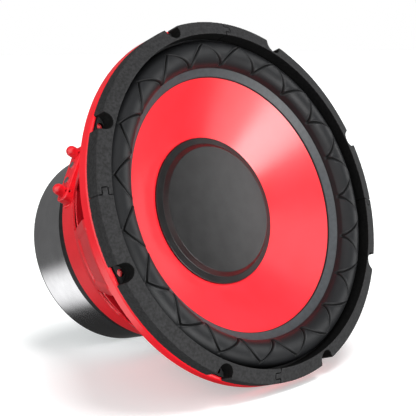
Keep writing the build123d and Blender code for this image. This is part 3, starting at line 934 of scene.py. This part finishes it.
# ---- softened copies of CAD parts ----------------------------------------
def softened(node, name, made, voxel, passes):
    """Copy of a CAD part with its sharp edges worn round, as a moulding has."""
    mesh = frame["nodes"][node].data.copy()
    piece = bpy.data.objects.new(name, mesh)
    bpy.context.scene.collection.objects.link(piece)
    weld = piece.modifiers.new("weld", "WELD")
    weld.merge_threshold = 1e-6
    shape = piece.modifiers.new("shape", "REMESH")
    shape.mode = "VOXEL"
    shape.voxel_size = voxel * MM
    soft = piece.modifiers.new("soft", "SMOOTH")
    soft.factor = 0.5
    soft.iterations = passes
    bpy.context.view_layer.update()
    apply_modifiers(piece)
    piece.data.shade_smooth()
    piece.data.materials.clear()
    piece.data.materials.append(made)
    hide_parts(node)
    return piece


def recess_floor(angle, made):
    """Thin rubber floor of a screw notch, round the screw's own hole."""
    points, faces = [], []
    shift = NOTCH_CIRCLE_R - SCREW_CIRCLE_R
    count = 4 * RECESS_SIDES
    for k in range(RECESS_SIDES):
        turn = 2 * math.pi * k / RECESS_SIDES
        out, side = math.cos(turn), math.sin(turn)
        reach = out * shift + math.sqrt(NOTCH_R ** 2 - (side * shift) ** 2)
        if out > 1e-6:
            reach = min(reach, (RECESS_EDGE_R - SCREW_CIRCLE_R) / out)
        for length in (RECESS_HOLE_R, reach):
            for y in (RECESS_Y, FLANGE_Y):
                points.append((SCREW_CIRCLE_R + out * length, y, side * length))
        here, there = 4 * k, 4 * (k + 1) % count
        for a, b in ((0, 2), (2, 3), (3, 1), (1, 0)):
            faces.append((here + a, here + b, there + b, there + a))
    return add_piece("recess_floor", swung(points, angle), faces, made)


def gasket(made, wall):
    """Four segments with floors in their notches; their sides take a near-black material, which is
    painted shade.
    """
    for corner, screws in SEGMENTS.items():
        piece = softened("gasket_segment_" + corner, "gasket_" + corner, made, 0.55, 3)
        join([piece, *(recess_floor(angle, made) for angle in screws)], "gasket_" + corner)
        piece.data.materials.append(wall)
        for face in piece.data.polygons:
            x, _, z = face.center
            at_rim = math.hypot(x, z) > (LIP_R - RIM_SKIN) * MM
            # painted shade: faces not turned forwards, away from the rim, take the near-black side
            # material
            if face.normal.y > -0.5 and not at_rim:
                face.material_index = 1
        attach(piece, "frame")


def terminals(plastic):
    """Terminal housing and its two push buttons."""
    housing = softened("terminal_block", "terminal_housing", plastic, 0.4, 3)
    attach(housing, "frame")
    for sign in SIGNS:
        knob = softened("terminal_button_" + sign, "button_cap_" + sign, plastic, 0.3, 2)
        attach(knob, "button_" + sign)


def dress(nodes, made):
    """New material on CAD parts whose shape is right as it is."""
    for node in nodes:
        mesh = frame["nodes"][node].data
        mesh.materials.clear()
        mesh.materials.append(made)


def spring(sign, metal):
    """Softened copy of the terminal spring."""
    piece = softened("terminal_spring_" + sign, "spring_coil_" + sign, metal, 0.12, 1)
    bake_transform(piece)


def lead(sign, braid):
    """Softened copy of the tinsel lead."""
    piece = softened("tinsel_lead_" + sign, "lead_braid_" + sign, braid, 0.3, 1)
    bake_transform(piece)
    hold(piece, depth_of, *LEAD_Y)


# ---- stage ---------------------------------------------------------------
def camera():
    """Camera to the front left of the speaker, a little below its axis."""
    data = bpy.data.cameras.new("camera")
    data.lens = LENS
    data.sensor_width = SENSOR
    data.clip_start = 0.01
    data.clip_end = 20
    made = bpy.data.objects.new("camera", data)
    made.location = CAMERA_PLACE
    made.rotation_euler = Euler([math.radians(a) for a in CAMERA_TURN], "XYZ")
    bpy.context.scene.collection.objects.link(made)
    bpy.context.scene.camera = made


def floor(made):
    """Plane through the rim's lowest point and the cover's rear edge."""
    rim_low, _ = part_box("basket")
    cover_low, cover_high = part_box("magnet_cover")
    front_y, front_z = rim_low.y + RIM_TOUCH_Y, rim_low.z
    rear_y, rear_z = cover_high.y - COVER_TOUCH, cover_low.z + COVER_TOUCH
    slope = math.atan2(rear_z - front_z, rear_y - front_y)
    mesh = bpy.data.meshes.new("floor")
    signs = [(-1, -1), (1, -1), (1, 1), (-1, 1)]
    corners = [(x * FLOOR_SIZE, y * FLOOR_SIZE, 0) for x, y in signs]
    mesh.from_pydata(corners, [], [(0, 1, 2, 3)])
    mesh.materials.append(made)
    piece = bpy.data.objects.new("floor", mesh)
    piece.rotation_euler = (slope, 0, 0)
    piece.location = (0, front_y, front_z - FLOOR_DROP)
    piece.visible_diffuse = False
    piece.visible_glossy = False
    piece.visible_shadow = False
    bpy.context.scene.collection.objects.link(piece)


def glow(nodes, links, direction, full, gone, power):
    """Studio light that fills part of the sky round a direction."""
    aim = Vector(direction).normalized()
    toward = nodes.new("ShaderNodeVectorMath")
    toward.operation = "DOT_PRODUCT"
    toward.inputs[1].default_value = aim
    links.new(nodes["Texture Coordinate"].outputs["Generated"], toward.inputs[0])
    spread = nodes.new("ShaderNodeMapRange")
    spread.interpolation_type = "SMOOTHSTEP"
    spread.inputs["From Min"].default_value = math.cos(math.radians(gone))
    spread.inputs["From Max"].default_value = math.cos(math.radians(full))
    spread.inputs["To Max"].default_value = power
    links.new(toward.outputs["Value"], spread.inputs["Value"])
    return spread


def world():
    """White behind everything; soft studio lights in every reflection."""
    made = bpy.data.worlds.new("studio")
    made.use_nodes = True
    nodes, links = made.node_tree.nodes, made.node_tree.links
    nodes.new("ShaderNodeTexCoord")
    below, above = AMBIENT
    total = glow(nodes, links, (0, 0, 1), *AMBIENT_FADE, above)
    total.inputs["To Min"].default_value = below
    level = total.outputs["Result"]
    for softbox in SOFTBOXES:
        light = glow(nodes, links, *softbox)
        more = nodes.new("ShaderNodeMath")
        more.operation = "ADD"
        links.new(level, more.inputs[0])
        links.new(light.outputs["Result"], more.inputs[1])
        level = more.outputs["Value"]
    seen, lit = nodes["Background"], nodes.new("ShaderNodeBackground")
    seen.inputs["Color"].default_value = (1, 1, 1, 1)
    lit.inputs["Color"].default_value = (1, 1, 1, 1)
    links.new(level, lit.inputs["Strength"])
    path = nodes.new("ShaderNodeLightPath")
    mix = nodes.new("ShaderNodeMixShader")
    links.new(path.outputs["Is Camera Ray"], mix.inputs["Fac"])
    links.new(lit.outputs["Background"], mix.inputs[1])
    links.new(seen.outputs["Background"], mix.inputs[2])
    links.new(mix.outputs["Shader"], nodes["World Output"].inputs["Surface"])
    bpy.context.scene.world = made


def overhead():
    """Broad lamp over the floor, left out of reflections."""
    data = bpy.data.lights.new("overhead", "SUN")
    data.energy = OVERHEAD_POWER
    data.angle = math.radians(OVERHEAD_SPREAD)
    made = bpy.data.objects.new("overhead", data)
    made.rotation_euler = Vector(OVERHEAD).to_track_quat("Z", "Y").to_euler()
    made.visible_glossy = False
    bpy.context.scene.collection.objects.link(made)


def build():
    """Everything, piece by piece."""
    camera()
    world()
    overhead()
    floor(floor_white())
    steel = bare_steel()
    braid = lead_braid()
    basket(red_paint())
    surround(roll_rubber(), glue_ring_rubber())
    cone(cone_finish(), cone_back_shade())
    dust_cap(cap_finish())
    magnet_cover(cover_chrome())
    top_plate(black_steel())
    spider(spider_cloth())
    gasket(gasket_rubber(), gasket_side_shade())
    terminals(red_plastic())
    for sign in SIGNS:
        spring(sign, steel)
        lead(sign, braid)
    dress(["basket_rivets", "terminal_block_rivets", "cone_eyelets", "pole_yoke"], steel)
    dress(["front_magnet", "rear_magnet"], ferrite())
    dress(["terminal_contact_negative", "terminal_contact_positive"], brass())
    dress(["voice_coil_winding"], copper_wire())
    dress(["voice_coil_former"], foil())
    dress(["vent_screen"], black_screen())


bpy.context.scene.view_settings.view_transform = "Standard"
build()
